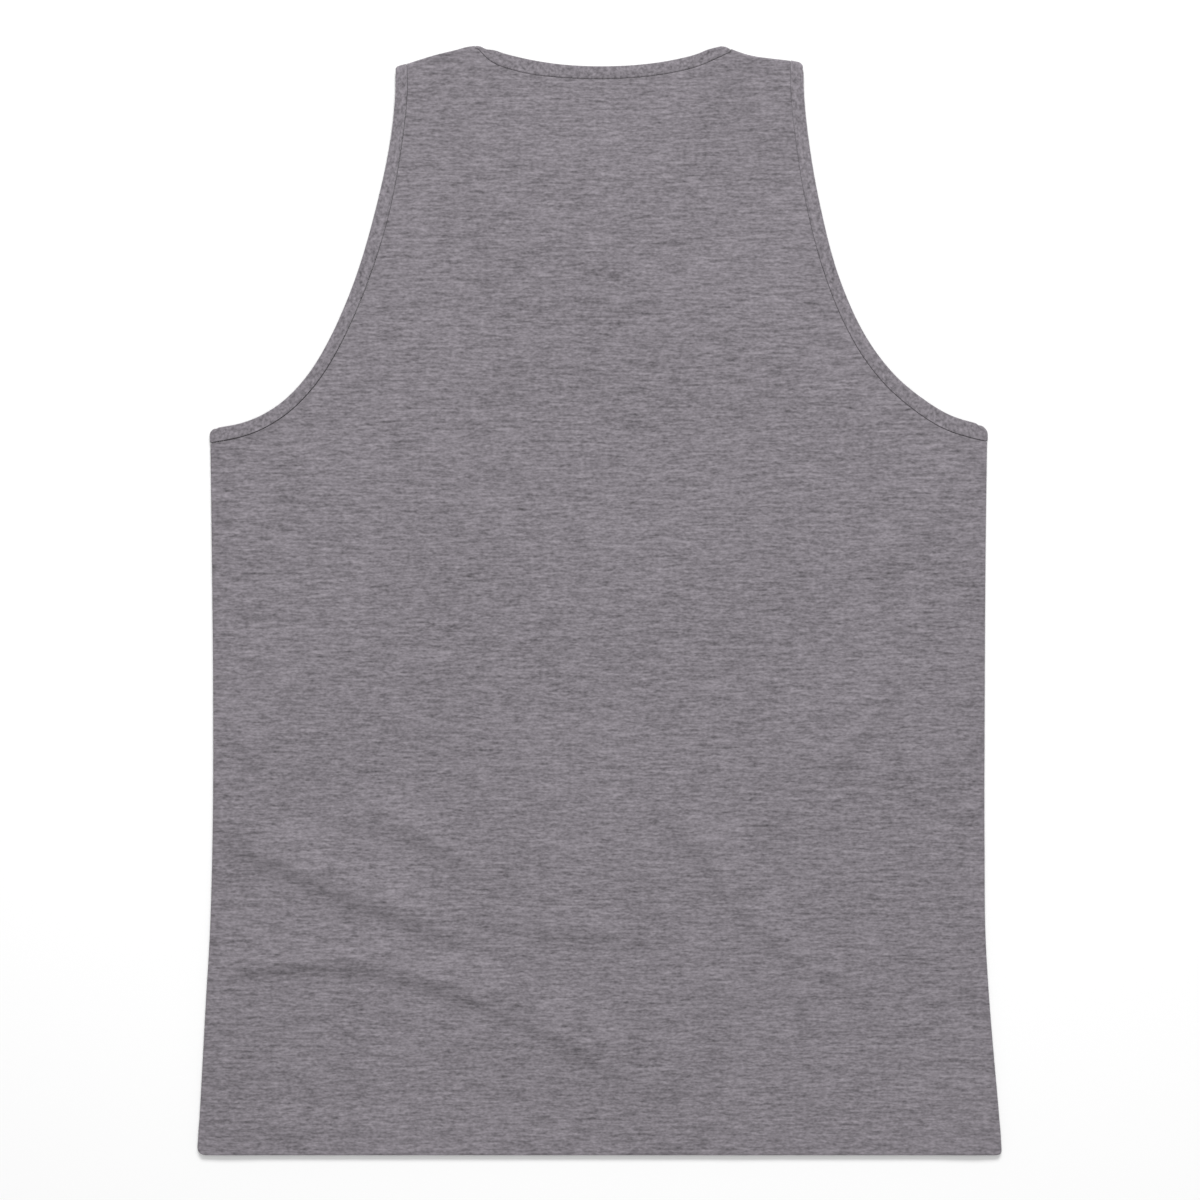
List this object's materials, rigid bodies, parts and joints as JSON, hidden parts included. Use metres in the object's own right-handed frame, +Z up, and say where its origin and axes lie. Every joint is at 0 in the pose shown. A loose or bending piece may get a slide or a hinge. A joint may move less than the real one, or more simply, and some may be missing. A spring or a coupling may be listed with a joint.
{
  "type": "tank top",
  "caption": "Sleeveless jersey tank top laid flat with its back up, with a shallow back neckline, deep armholes bound in narrow bands, a straight hem and soft creases.",
  "frame": {"origin": "middle of the bottom of the bounding box, on the surface that the garment lies on", "axes": "+Z up out of the surface, +Y from the hem to the shoulders, +X to the right with the back of the garment facing up"},
  "size_m": [0.5258, 0.7259, 0.0063],
  "materials": {
    "jersey": "matte single jersey, grey heather with short sideways flecks and faint mottling",
    "binding": "matte self-fabric binding, grey heather with fine flecks"
  },
  "bodies": {
    "root": {"front_panel": "jersey", "back_panel": "jersey", "neck_band": "binding", "armhole_band_left": "binding", "armhole_band_right": "binding"}
  },
  "joints": []
}
